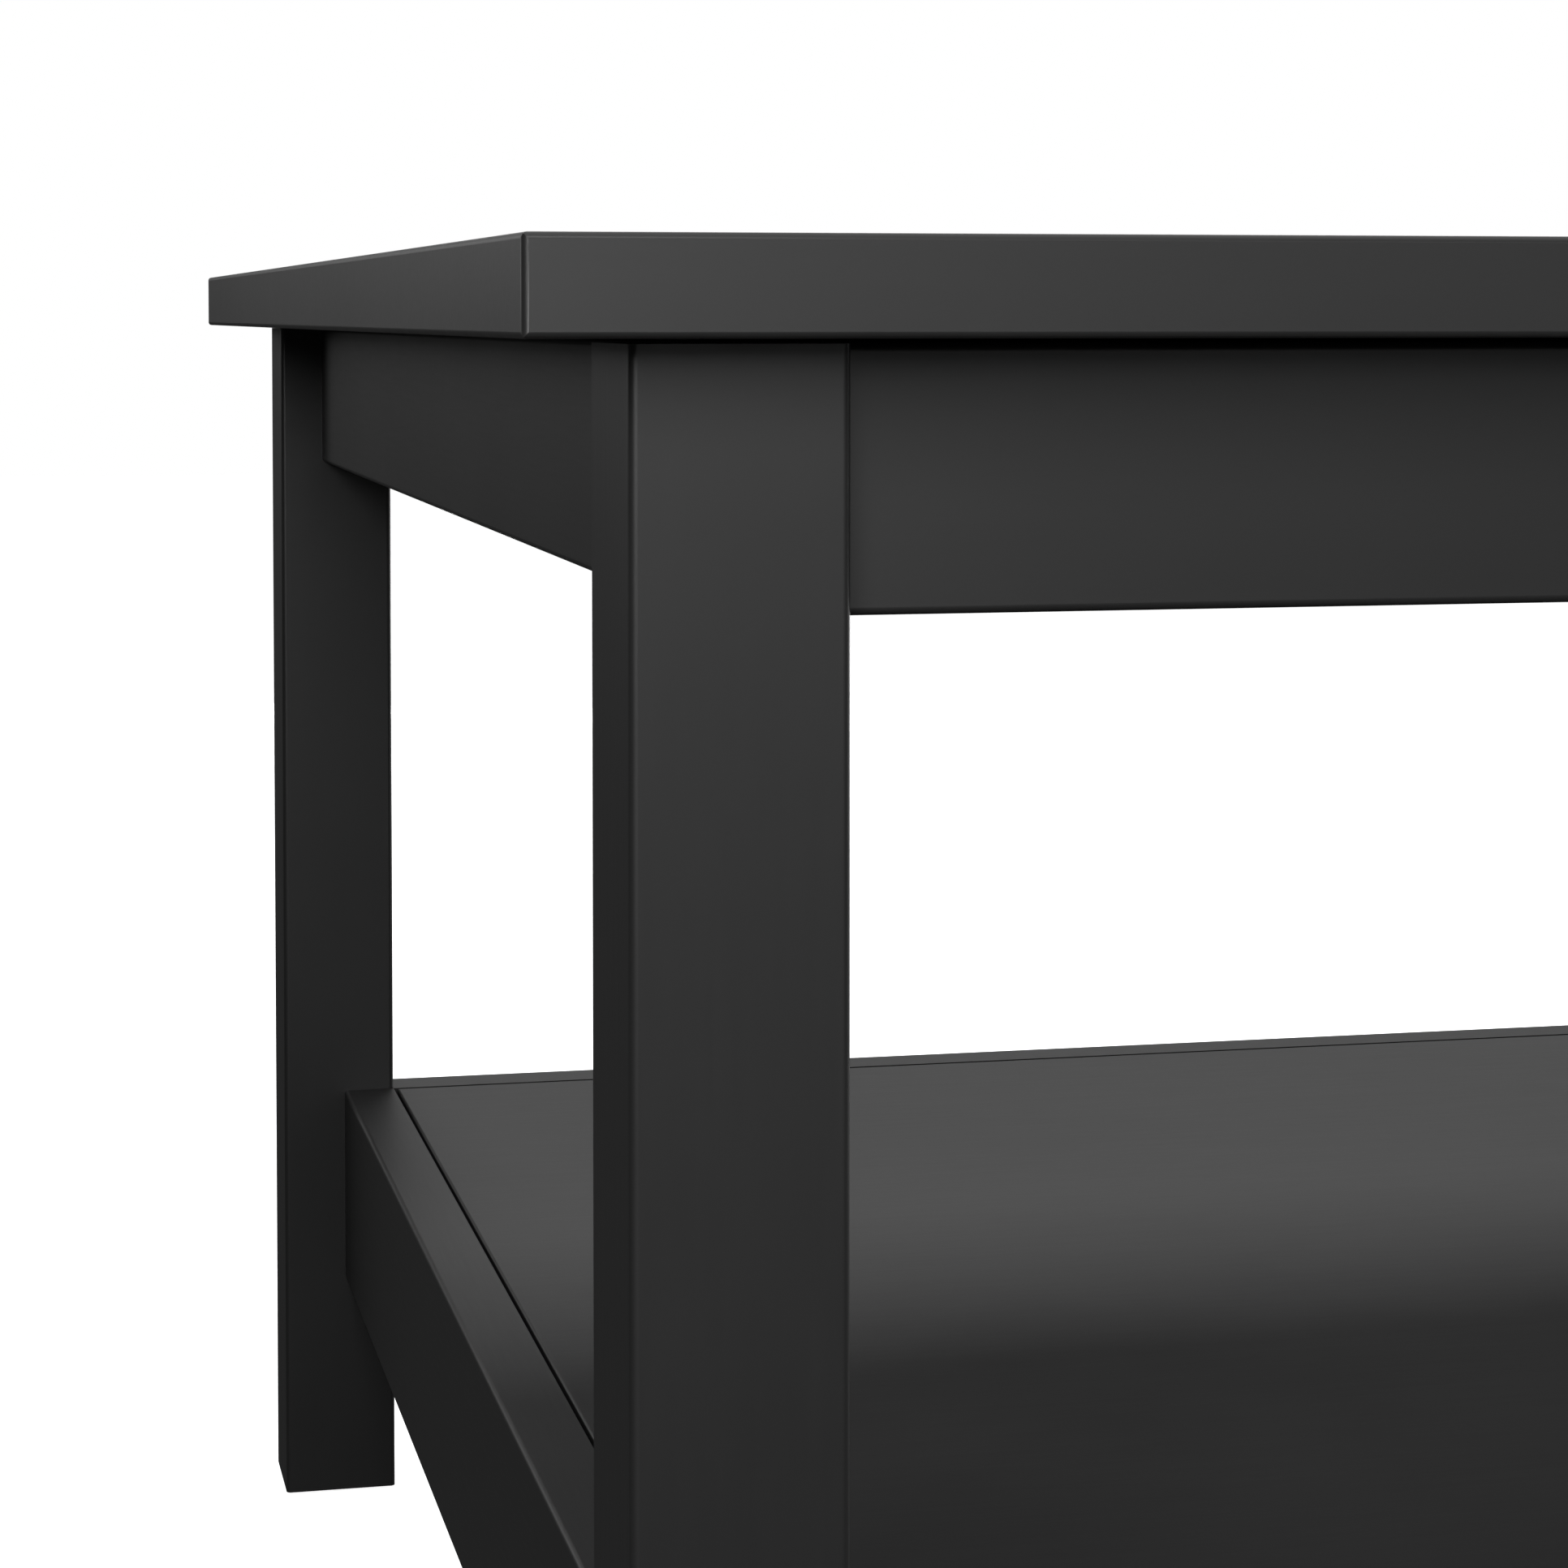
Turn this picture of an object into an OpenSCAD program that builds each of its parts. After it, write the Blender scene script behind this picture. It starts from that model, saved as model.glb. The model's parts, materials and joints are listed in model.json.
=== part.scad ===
// Lift top coffee table: square four-legged frame, open lower shelf, and a top that rises
// and comes forward on a parallel-arm linkage at each side, over a shallow storage box.
// Origin: floor level under the middle of the top. +Z is up, and the user sits at -Y.

/* [Top] */
// Width of the top, side to side
top_w = 800; // [700:10:1000]
// Depth of the top, front to back
top_d = 800; // [700:10:1000]
// Height of the top's upper face above the floor
table_h = 450; // [420:5:500]
// Thickness of the top
top_t = 18; // [16:1:22]
// Rounding of the top's edges
top_round = 1.2; // [0.8:0.1:2]
// How far the top stands out past the legs
overhang = 22; // [15:1:30]

/* [Frame] */
// Side of the square legs
leg_w = 40; // [38:1:46]
// Rounding of the legs' edges
leg_round = 1.6; // [1:0.1:2.5]
// Thickness of the aprons and shelf rails
board_t = 18; // [18:0.5:20]
// Height of the aprons
apron_h = 49; // [48:1:56]
// Step from the legs' outer face to the front and back aprons
cross_apron_step = 10; // [8:1:12]
// Step from the legs' outer face to the side aprons
side_apron_step = 15; // [13:1:15]
// Rounding of the aprons' and rails' long edges
board_round = 1.5; // [1:0.1:2]
// Gap that the bumpers keep between the frame and the top
bumper_t = 1; // [1:0.1:2]
// Height of the glides under the legs
glide_t = 1.2; // [1:0.1:3]

/* [Shelf] */
// Height of the shelf rails' upper edge above the floor
shelf_z = 150; // [140:1:180]
// Height of the shelf rails
rail_h = 70; // [68:1:76]
// Thickness of the shelf panel
shelf_t = 18; // [16:1:20]
// Gap around the shelf panel
shelf_gap = 1.3; // [0.8:0.1:1.5]
// Rounding of the shelf panel's edges
shelf_round = 0.8; // [0.4:0.1:1]

/* [Lift linkage] */
// Distance between the two pivots of a lift arm
arm_len = 190; // [170:5:200]
// Width of the lift arms
arm_w = 16; // [14:0.5:16]
// Thickness of the lift arms
arm_t = 3; // [2.5:0.1:3]
// Angle of the arms above level with the top down
arm_rest = 4; // [3:0.5:4]
// Radius of the pivot pins
pin_r = 4; // [3.5:0.1:4.2]
// Distance along a rear arm from its lower pivot to the sync bar
sync_along = 150; // [148:1:152]

/* [Hidden] */
$fn = 64;

LACQUER = [0.16, 0.16, 0.17];
HARDBOARD = [0.20, 0.20, 0.20];
BLACK_STEEL = [0.11, 0.11, 0.12];
ZINC = [0.72, 0.72, 0.70];
BEECH = [0.80, 0.66, 0.46];
FELT = [0.25, 0.25, 0.25];

eps = 1;                                   // how far a cutter runs past the face it opens
slip = 0.05;                               // radial room of a fixed shank in its hole
running = 0.06;                            // radial room of a turning joint
loose = 0.10;                              // radial room at the upper pivot of the front arms
leg_out_x = top_w / 2 - overhang;
leg_out_y = top_d / 2 - overhang;
leg_in_x = leg_out_x - leg_w;
leg_in_y = leg_out_y - leg_w;
top_z = table_h - top_t;
frame_z = top_z - bumper_t;                // upper edge of the legs and aprons
apron_z = frame_z - apron_h;
apron_in_x = leg_out_x - side_apron_step - board_t;
apron_in_y = leg_out_y - cross_apron_step - board_t;
rail_z = shelf_z - rail_h;
half_t = board_t / 2;
bore_room = 0.5;                           // spare depth of a bore, and room round a cam bolt

// Frame joints: dowels and a cam bolt at each end of a board
dowel_r = 4;
dowel_half = 15;
bolt_r = 3;
bolt_in_leg = 11;
cam_r = 7.4;
cam_depth = 12.8;
cam_room = 0.2;
cam_setback = 34;
cam_slot = [9, 3, 1.6];                    // one bar of the screwdriver cross
bolt_neck = [3, 8];                        // where the neck behind the bolt's head runs
bolt_neck_r = 2;
bolt_clear = 4;                            // how far the cam's channel runs past the bolt
CROSS = 0;                                 // a board that runs along X
SIDE = 1;                                  // a board that runs along Y
// Each joint: run of the board, centre line, height, cam bolt offset, dowel offsets
APRON_CROSS = [CROSS, apron_in_y + half_t, apron_z + apron_h / 2, 0, [-14, 14]];
APRON_SIDE = [SIDE, apron_in_x + half_t, apron_z + apron_h / 2, 0, [-14, 14]];
RAIL_CROSS = [CROSS, leg_in_y + half_t, rail_z + rail_h / 2, 6, [-16, 25]];
RAIL_SIDE = [SIDE, leg_in_x + half_t, rail_z + rail_h / 2, -6, [-25, 16]];
JOINTS = [APRON_CROSS, APRON_SIDE, RAIL_CROSS, RAIL_SIDE];

// Storage floor, in grooves near the aprons' lower edge
floor_t = 5;
floor_z = apron_z + 4;
groove_depth = 4;
groove_play = 0.2;
floor_room = 0.5;                          // room between the storage floor and groove or leg

// Shelf cleats and their screws
cleat_w = 18;
cleat_inset = 48;
cleat_z = shelf_z - shelf_t - cleat_w;
cleat_screw_inset = 90;
cleat_screw_reach = leg_in_y - cleat_inset - cleat_screw_inset;
cleat_screw_y = [-cleat_screw_reach, 0, cleat_screw_reach];
cleat_screw_shift = 40;
screw_r = 1.8;
screw_head_r = 3.6;
screw_head_t = 2.2;
long_screw = 28;
short_screw = 13;
screw_end = 1;                             // how far a short screw stops from its hole's end

// Bumpers and glides
bumper_r = 4;
bumper_y = leg_in_y - 38;
glide_r = 9;
glide_nail_r = 1.5;
glide_nail = 12;

// Lift linkage. d is measured inwards from the side apron's inner face
plate_t = 2.5;
plate_corner = 4;
pin_z = frame_z - 27;
front_y = -105;                            // lower pivot of the front arm
rear_y = -35;                              // lower pivot of the rear arm
plate_y = [-215, -5];
plate_zs = [frame_z - 37, frame_z - 5];
rear_d = plate_t + 1;
arm_gap = 2;
front_d = rear_d + arm_t + arm_gap;
bracket_d = front_d + arm_t + arm_gap;
shoulder_r = 6;
head_r = 6.5;
head_t = 1.3;
head_gap = 0.1;
base_screw_y = [-207, -150, -70, -15];
base_screw_z = frame_z - 21;
lift_travel = 100;                         // degrees that the arms swing, up to their stop
stop_r = 3;
stop_along = 17;                           // along the raised rear arm to its stop stud
stop_gap = 0.05;
stop_proud = 0.7;                          // how far the stop stud stands past the rear arm
arm_dy = arm_len * cos(arm_rest);
arm_dz = arm_len * sin(arm_rest);
top_pin_z = pin_z + arm_dz;

// Top brackets
ear_r = 8;
web_drop = 8;
flange_w = 26.5;
bracket_reach = 14;
flange_screw_y = [12, 58];
flange_screw_d = [8, 20];
sink = 0.01;                               // depth of the screw heads under the flange's face

// Sync bar between the rear arms
sync_r = 5;
spigot_r = 3.5;

// Springs, each from a stud on the base plate to a lug on the front arm
spring_z = pin_z + 9;
stud_y = -195;
stud_r = 2.5;
lug_angle = 40;
lug_reach = 14;
lug_r = 3.5;
lug_web = 5;
lug_hole_r = 1.3;
wire_r = 0.6;
coil_r = 4.5;
coil_y = [-187, -115];
eye_r = 2.8;
stud_eye_r = 3.4;
lug_y = front_y + lug_reach * cos(lug_angle);
stud_head_r = 4;
stud_head_t = 1;
stud_proud = 1.5;                          // how far a spring stud stands past the front arm

// Outline of a rectangle with round corners, centred
module rounded_rect(size, r) {
    square([size[0] - 2 * r, size[1]], center = true);
    square([size[0], size[1] - 2 * r], center = true);
    for (x = [-1, 1], y = [-1, 1])
        translate([x * (size[0] / 2 - r), y * (size[1] / 2 - r)]) circle(r);
}

// Board along X, centred on X and Y, standing on z = 0, long edges rounded
module bar_x(length, t, h, r) {
    translate([0, 0, h / 2]) rotate([90, 0, 90])
        linear_extrude(length, center = true) rounded_rect([t, h], r);
}

// The same along Y
module bar_y(length, t, h, r) {
    translate([0, 0, h / 2]) rotate([90, 0, 0])
        linear_extrude(length, center = true) rounded_rect([t, h], r);
}

// Board with all its edges rounded, centred on X and Y, standing on z = 0
module slab(size, r) {
    intersection() {
        linear_extrude(size[2]) rounded_rect([size[0], size[1]], r);
        bar_x(size[0], size[1], size[2], r);
        bar_y(size[1], size[0], size[2], r);
    }
}

// Rod along +X
module rod_x(r, from, to) {
    translate([from, 0, 0]) rotate([0, 90, 0]) cylinder(r = r, h = to - from);
}

// Flat-head screw along +Z, its head's face at z = 0
module flat_screw(length, room = 0) {
    cylinder(r1 = screw_head_r + room, r2 = screw_r + room, h = screw_head_t);
    cylinder(r = screw_r + room, h = length + room);
}

// Puts a joint's hardware at the corner sx, sy: origin where the board meets the leg,
// +X into the leg, -Y towards the board's inner face
module at_corner(joint, sx, sy) {
    mirror([sx < 0 ? 1 : 0, 0, 0]) mirror([0, sy < 0 ? 1 : 0, 0])
        if (joint[0] == CROSS)
            translate([leg_in_x, joint[1], joint[2]]) children();
        else
            translate([joint[1], leg_in_y, joint[2]]) rotate(90) mirror([0, 1, 0]) children();
}

module leg_bores(joint) {
    for (dz = joint[4])
        translate([0, 0, dz]) rod_x(dowel_r + slip, -eps, dowel_half + bore_room);
    translate([0, 0, joint[3]]) rod_x(bolt_r + slip, -eps, bolt_in_leg + bore_room);
}

module board_bores(joint) {
    for (dz = joint[4])
        translate([0, 0, dz]) rod_x(dowel_r + slip, -dowel_half - bore_room, eps);
    translate([0, 0, joint[3]]) rod_x(bolt_r + bore_room, -cam_setback, eps);
    translate([-cam_setback, -half_t - eps, joint[3]]) rotate([-90, 0, 0])
        cylinder(r = cam_r + slip, h = cam_depth + eps + cam_room);
}

module cam_bolt() {
    rod_x(bolt_r, -cam_setback, bolt_neck[0] - cam_setback);
    rod_x(bolt_neck_r, bolt_neck[0] - cam_setback, bolt_neck[1] - cam_setback);
    rod_x(bolt_r, bolt_neck[1] - cam_setback, bolt_in_leg);
}

module cam_disc() {
    difference() {
        translate([-cam_setback, -half_t, 0]) rotate([-90, 0, 0]) cylinder(r = cam_r, h = cam_depth);
        rod_x(bolt_r + bore_room, -cam_setback - bolt_clear, -cam_setback + cam_r + eps);
        translate([-cam_setback, -half_t, 0]) cube(cam_slot, center = true);
        translate([-cam_setback, -half_t, 0]) rotate([0, 90, 0]) cube(cam_slot, center = true);
    }
}

module leg(sx, sy) {
    color(LACQUER) difference() {
        translate([sx * (leg_out_x - leg_w / 2), sy * (leg_out_y - leg_w / 2), glide_t])
            linear_extrude(frame_z - glide_t) rounded_rect([leg_w, leg_w], leg_round);
        for (joint = JOINTS)
            at_corner(joint, sx, sy) leg_bores(joint);
        translate([sx * (leg_out_x - leg_w / 2), sy * (leg_out_y - leg_w / 2), 0])
            cylinder(r = glide_nail_r + slip, h = glide_t + glide_nail + bore_room);
    }
}

// Holes in a board for its two joints; the board is on the +X or +Y side
module end_bores(joint) {
    for (s = [-1, 1])
        at_corner(joint, joint[0] == CROSS ? s : 1, joint[0] == CROSS ? 1 : s) board_bores(joint);
}

// Turns the child, drawn on the +Y side, to the side that s gives
module flip_y(s) {
    mirror([0, s < 0 ? 1 : 0, 0]) children();
}

// Turns the child, drawn on the +X side, to the side that s gives
module flip_x(s) {
    mirror([s < 0 ? 1 : 0, 0, 0]) children();
}

module cross_apron(sy) {
    color(LACQUER) flip_y(sy) difference() {
        translate([0, APRON_CROSS[1], apron_z]) bar_x(2 * leg_in_x, board_t, apron_h, board_round);
        translate([-top_w / 2, apron_in_y - eps, floor_z])
            cube([top_w, groove_depth + eps, floor_t + groove_play]);
        end_bores(APRON_CROSS);
    }
}

module side_apron(sx) {
    color(LACQUER) flip_x(sx) difference() {
        translate([APRON_SIDE[1], 0, apron_z]) bar_y(2 * leg_in_y, board_t, apron_h, board_round);
        translate([apron_in_x - eps, -top_d / 2, floor_z])
            cube([groove_depth + eps, top_d, floor_t + groove_play]);
        end_bores(APRON_SIDE);
        on_side("right") base_screw_places() flat_screw(plate_t + short_screw, slip);
    }
}

// The rails' inner upper edge is square, to meet the shelf panel
module cross_rail(sy) {
    color(LACQUER) flip_y(sy) difference() {
        union() {
            translate([0, RAIL_CROSS[1], rail_z]) bar_x(2 * leg_in_x, board_t, rail_h, board_round);
            translate([-leg_in_x, leg_in_y, shelf_z - half_t]) cube([2 * leg_in_x, half_t, half_t]);
        }
        end_bores(RAIL_CROSS);
    }
}

module side_rail(sx) {
    color(LACQUER) flip_x(sx) difference() {
        union() {
            translate([RAIL_SIDE[1], 0, rail_z]) bar_y(2 * leg_in_y, board_t, rail_h, board_round);
            translate([leg_in_x, -leg_in_y, shelf_z - half_t]) cube([half_t, 2 * leg_in_y, half_t]);
        }
        end_bores(RAIL_SIDE);
        cleat_screw_holes();
    }
}

module shelf_panel() {
    size = [2 * (leg_in_x - shelf_gap), 2 * (leg_in_y - shelf_gap), shelf_t];
    color(LACQUER) difference() {
        translate([0, 0, cleat_z + cleat_w]) slab(size, shelf_round);
        for (sx = [-1, 1])
            flip_x(sx) cleat_screw_holes();
    }
}

// Plain board that slides in the aprons' grooves, notched around the legs
module storage_floor() {
    reach_x = apron_in_x + groove_depth - floor_room;
    reach_y = apron_in_y + groove_depth - floor_room;
    color(HARDBOARD) difference() {
        translate([-reach_x, -reach_y, floor_z]) cube([2 * reach_x, 2 * reach_y, floor_t]);
        for (sx = [-1, 1], sy = [-1, 1])
            flip_x(sx) flip_y(sy) translate([leg_in_x - floor_room, leg_in_y - floor_room, floor_z - eps])
                cube([leg_w, leg_w, floor_t + 2 * eps]);
    }
}

// Screws of the cleat on the +X side: up into the shelf panel, and across into the rail
module cleat_screw_places() {
    for (y = cleat_screw_y) {
        translate([leg_in_x - cleat_w / 2, y, cleat_z]) children();
        translate([leg_in_x - cleat_w, y + cleat_screw_shift, cleat_z + cleat_w / 2])
            rotate([0, 90, 0]) children();
    }
}

module cleat_screw_holes() {
    cleat_screw_places() flat_screw(long_screw, slip);
}

module shelf_cleat(sx) {
    length = 2 * (leg_in_y - cleat_inset);
    color(LACQUER) flip_x(sx) difference() {
        translate([leg_in_x - cleat_w, -length / 2, cleat_z]) cube([cleat_w, length, cleat_w]);
        cleat_screw_holes();
    }
}

module cleat_screws() {
    color(ZINC) for (sx = [-1, 1])
        flip_x(sx) cleat_screw_places() flat_screw(long_screw);
}

module dowels() {
    color(BEECH) for (joint = JOINTS, sx = [-1, 1], sy = [-1, 1], dz = joint[4])
        at_corner(joint, sx, sy) translate([0, 0, dz]) rod_x(dowel_r, -dowel_half, dowel_half);
}

module cam_bolts() {
    color(ZINC) for (joint = JOINTS, sx = [-1, 1], sy = [-1, 1])
        at_corner(joint, sx, sy) translate([0, 0, joint[3]]) cam_bolt();
}

module cam_discs() {
    color(ZINC) for (joint = JOINTS, sx = [-1, 1], sy = [-1, 1])
        at_corner(joint, sx, sy) translate([0, 0, joint[3]]) cam_disc();
}

module bumpers() {
    color(FELT) for (sx = [-1, 1], sy = [-1, 1])
        translate([sx * APRON_SIDE[1], sy * bumper_y, frame_z]) cylinder(r = bumper_r, h = bumper_t);
}

module foot_glides() {
    color(FELT) for (sx = [-1, 1], sy = [-1, 1])
        translate([sx * (leg_out_x - leg_w / 2), sy * (leg_out_y - leg_w / 2), 0]) {
            cylinder(r = glide_r, h = glide_t);
            cylinder(r = glide_nail_r, h = glide_t + glide_nail);
        }
}

// Draws the child at a side's linkage: origin on the side apron's inner face, +X inwards
module on_side(side) {
    mirror([side == "right" ? 1 : 0, 0, 0]) translate([-apron_in_x, 0, 0]) children();
}

// Gives a side outline, drawn as y and z, the thickness t from distance d
module plate_at(d, t) {
    translate([d, 0, 0]) rotate([90, 0, 90]) linear_extrude(t) children();
}

// Places of the base plate's screws, at the plate's inner face, for a screw drawn along +Z
// that goes into the apron
module base_screw_places() {
    for (y = base_screw_y)
        translate([plate_t, y, base_screw_z]) rotate([0, -90, 0]) children();
}

module base_plate(side) {
    color(BLACK_STEEL) on_side(side) difference() {
        plate_at(0, plate_t)
            translate([(plate_y[0] + plate_y[1]) / 2, (plate_zs[0] + plate_zs[1]) / 2])
            rounded_rect([plate_y[1] - plate_y[0], plate_zs[1] - plate_zs[0]], plate_corner);
        for (y = [front_y, rear_y])
            translate([0, y, pin_z]) rod_x(pin_r + slip, -eps, plate_t + eps);
        translate([0, stud_y, spring_z]) rod_x(stud_r + slip, -eps, plate_t + eps);
        at_stop() rod_x(stop_r + slip, -eps, plate_t + eps);
        base_screw_places() flat_screw(plate_t + short_screw, slip);
    }
}

// Shouldered pin along +X: rivet end, shoulder up to the arm, shank through it, and head
module base_pin(arm_d) {
    end = arm_d + arm_t + head_gap;
    rod_x(pin_r, 0, end);
    rod_x(shoulder_r, plate_t, arm_d - head_gap);
    rod_x(head_r, end, end + head_t);
}

module spring_stud() {
    stud_end = front_d + arm_t + stud_proud;
    rod_x(stud_r, 0, stud_end);
    rod_x(stud_head_r, stud_end - stud_head_t, stud_end);
}

// Place of the stud that the raised rear arm comes to rest against
module at_stop() {
    translate([0, rear_y, pin_z]) rotate([arm_rest + lift_travel, 0, 0])
        translate([0, stop_along, arm_w / 2 + stop_r + stop_gap]) children();
}

module base_pins(side) {
    color(ZINC) on_side(side) {
        at_stop() rod_x(stop_r, 0, rear_d + arm_t + stop_proud);
        translate([0, front_y, pin_z]) base_pin(front_d);
        translate([0, rear_y, pin_z]) base_pin(rear_d);
        translate([0, stud_y, spring_z]) spring_stud();
    }
}

module base_screws(side) {
    color(ZINC) on_side(side)
        base_screw_places() flat_screw(plate_t + short_screw - screw_end);
}

module arm_outline(from_y) {
    translate([from_y, pin_z]) rotate(arm_rest) {
        translate([0, -arm_w / 2]) square([arm_len, arm_w]);
        for (x = [0, arm_len])
            translate([x, 0]) circle(arm_w / 2);
    }
}

module rear_arm(side) {
    color(BLACK_STEEL) on_side(side) plate_at(rear_d, arm_t) difference() {
        arm_outline(rear_y);
        translate([rear_y, pin_z]) rotate(arm_rest) {
            circle(pin_r + running);
            translate([arm_len, 0]) circle(pin_r + running);
            translate([sync_along, 0]) circle(spigot_r + slip);
        }
    }
}

module front_arm(side) {
    color(BLACK_STEEL) on_side(side) plate_at(front_d, arm_t) difference() {
        union() {
            arm_outline(front_y);
            translate([front_y, pin_z]) rotate(lug_angle) {
                translate([0, -lug_web / 2]) square([lug_reach, lug_web]);
                translate([lug_reach, 0]) circle(lug_r);
            }
        }
        translate([front_y, pin_z]) circle(pin_r + running);
        translate([front_y, pin_z]) rotate(lug_angle) translate([lug_reach, 0]) circle(lug_hole_r);
        translate([front_y + arm_dy, top_pin_z]) circle(pin_r + loose);
    }
}

// Round bar from one rear arm to the other, with a spigot riveted through each
module sync_bar() {
    half = apron_in_x - rear_d - arm_t;
    place = [0, rear_y + sync_along * cos(arm_rest), pin_z + sync_along * sin(arm_rest)];
    color(BLACK_STEEL) translate(place) {
        rod_x(sync_r, -half, half);
        rod_x(spigot_r, -half - arm_t, half + arm_t);
    }
}

// Close-wound spring with a wire eye at each end
module spring(side) {
    color(ZINC) on_side(side) translate([front_d + arm_t / 2, 0, spring_z]) {
        translate([0, coil_y[0], 0]) rotate([-90, 0, 0]) cylinder(r = coil_r, h = coil_y[1] - coil_y[0]);
        translate([0, coil_y[1], 0]) rotate([-90, 0, 0])
            cylinder(r = wire_r, h = lug_y - 2 * eye_r - coil_y[1]);
        translate([0, lug_y - eye_r, 0]) wire_eye(eye_r);
        translate([0, coil_y[0], 0]) rotate([90, 0, 0])
            cylinder(r = wire_r, h = coil_y[0] - stud_y - stud_eye_r);
        translate([0, stud_y, 0]) rotate([0, 90, 0]) wire_eye(stud_eye_r);
    }
}

module wire_eye(r) {
    rotate_extrude() translate([r, 0]) circle(wire_r);
}

module top_panel() {
    color(LACQUER) difference() {
        translate([0, 0, top_z]) slab([top_w, top_d, top_t], top_round);
        for (side = ["left", "right"])
            on_side(side) flange_screw_places() cylinder(r = screw_r + slip, h = plate_t + short_screw);
    }
}

// Places of a top bracket's screws, at the flange's lower face, +Z up into the top
module flange_screw_places() {
    for (y = flange_screw_y, d = flange_screw_d)
        translate([bracket_d + d, front_y + arm_dy + y, top_z - plate_t]) children();
}

// Angle bracket under the top: a flange, and a web that ends in an ear at each pivot
module top_bracket(side) {
    front = front_y + arm_dy;
    rear = rear_y + arm_dy;
    color(BLACK_STEEL) on_side(side) difference() {
        union() {
            plate_at(bracket_d, plate_t) {
                translate([front - ear_r, top_z - web_drop])
                    square([rear - front + 2 * ear_r, web_drop]);
                for (y = [front, rear]) {
                    translate([y, top_pin_z]) circle(ear_r);
                    translate([y - ear_r, top_pin_z]) square([2 * ear_r, top_z - top_pin_z]);
                }
            }
            translate([bracket_d, front - bracket_reach, top_z - plate_t])
                cube([flange_w, rear - front + 2 * bracket_reach, plate_t]);
        }
        for (y = [front, rear])
            translate([0, y, top_pin_z]) rod_x(pin_r + slip, bracket_d - eps, bracket_d + plate_t + eps);
        flange_screw_places() translate([0, 0, -sink]) flat_screw(short_screw, slip);
    }
}

// Shouldered pin from the bracket outwards to an arm, headed at both ends
module top_pin(arm_d) {
    inner = bracket_d + plate_t;
    outer = arm_d - head_gap;
    rod_x(pin_r, outer, inner);
    rod_x(shoulder_r, arm_d + arm_t + head_gap, bracket_d);
    rod_x(head_r, outer - head_t, outer);
    rod_x(head_r, inner, inner + head_t);
}

module top_pins(side) {
    color(ZINC) on_side(side) {
        translate([0, front_y + arm_dy, top_pin_z]) top_pin(front_d);
        translate([0, rear_y + arm_dy, top_pin_z]) top_pin(rear_d);
    }
}

module bracket_screws(side) {
    color(ZINC) on_side(side)
        flange_screw_places() flat_screw(plate_t + short_screw - screw_end);
}

leg(-1, -1);  // leg_front_left
leg(1, -1);  // leg_front_right
leg(-1, 1);  // leg_back_left
leg(1, 1);  // leg_back_right
cross_apron(-1);  // apron_front
cross_apron(1);  // apron_back
side_apron(-1);  // apron_left
side_apron(1);  // apron_right
cross_rail(-1);  // shelf_rail_front
cross_rail(1);  // shelf_rail_back
side_rail(-1);  // shelf_rail_left
side_rail(1);  // shelf_rail_right
shelf_panel();
storage_floor();
shelf_cleat(-1);  // shelf_cleat_left
shelf_cleat(1);  // shelf_cleat_right
dowels();
cam_bolts();
cam_discs();
cleat_screws();
bumpers();
foot_glides();
base_plate("left");  // base_plate_left
base_plate("right");  // base_plate_right
base_pins("left");  // base_pins_left
base_pins("right");  // base_pins_right
base_screws("left");  // base_screws_left
base_screws("right");  // base_screws_right
spring("left");  // spring_left
spring("right");  // spring_right
front_arm("left");  // front_arm_left
front_arm("right");  // front_arm_right
rear_arm("left");  // rear_arm_left
rear_arm("right");  // rear_arm_right
sync_bar();
top_panel();
top_bracket("left");  // top_bracket_left
top_bracket("right");  // top_bracket_right
top_pins("left");  // top_pins_left
top_pins("right");  // top_pins_right
bracket_screws("left");  // bracket_screws_left
bracket_screws("right");  // bracket_screws_right
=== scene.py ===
"""Lift top coffee table: finishes, fittings and studio around the fixed frame.

Lengths are metres in the table's own frame: +Z up, the user sits at -Y, and the origin is at
floor level under the middle of the top.
"""

import json
import logging
import math
from dataclasses import dataclass, replace
from enum import Enum
from typing import Iterable, Sequence, Union

import bmesh
import bpy
from mathutils import Matrix, Vector

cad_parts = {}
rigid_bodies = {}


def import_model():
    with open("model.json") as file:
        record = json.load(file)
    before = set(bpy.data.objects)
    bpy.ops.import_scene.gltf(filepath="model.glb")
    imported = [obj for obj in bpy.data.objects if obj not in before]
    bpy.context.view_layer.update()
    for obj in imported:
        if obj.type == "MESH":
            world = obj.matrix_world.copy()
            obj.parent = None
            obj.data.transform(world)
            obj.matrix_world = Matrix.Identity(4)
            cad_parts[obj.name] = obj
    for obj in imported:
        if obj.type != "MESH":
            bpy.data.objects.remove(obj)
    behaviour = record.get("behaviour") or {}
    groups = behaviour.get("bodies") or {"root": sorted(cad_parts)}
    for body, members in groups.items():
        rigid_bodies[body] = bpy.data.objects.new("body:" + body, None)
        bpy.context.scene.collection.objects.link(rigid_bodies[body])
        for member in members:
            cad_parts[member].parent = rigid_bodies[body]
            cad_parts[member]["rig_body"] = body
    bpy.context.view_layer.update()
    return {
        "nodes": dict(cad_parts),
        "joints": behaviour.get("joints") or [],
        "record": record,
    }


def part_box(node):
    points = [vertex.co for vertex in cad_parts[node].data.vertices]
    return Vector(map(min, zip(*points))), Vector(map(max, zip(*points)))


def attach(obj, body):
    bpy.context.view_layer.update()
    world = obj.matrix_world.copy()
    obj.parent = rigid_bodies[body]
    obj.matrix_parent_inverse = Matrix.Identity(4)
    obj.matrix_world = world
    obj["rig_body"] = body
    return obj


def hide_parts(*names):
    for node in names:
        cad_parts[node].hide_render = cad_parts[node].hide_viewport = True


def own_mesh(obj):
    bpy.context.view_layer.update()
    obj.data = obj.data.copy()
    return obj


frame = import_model()

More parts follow.
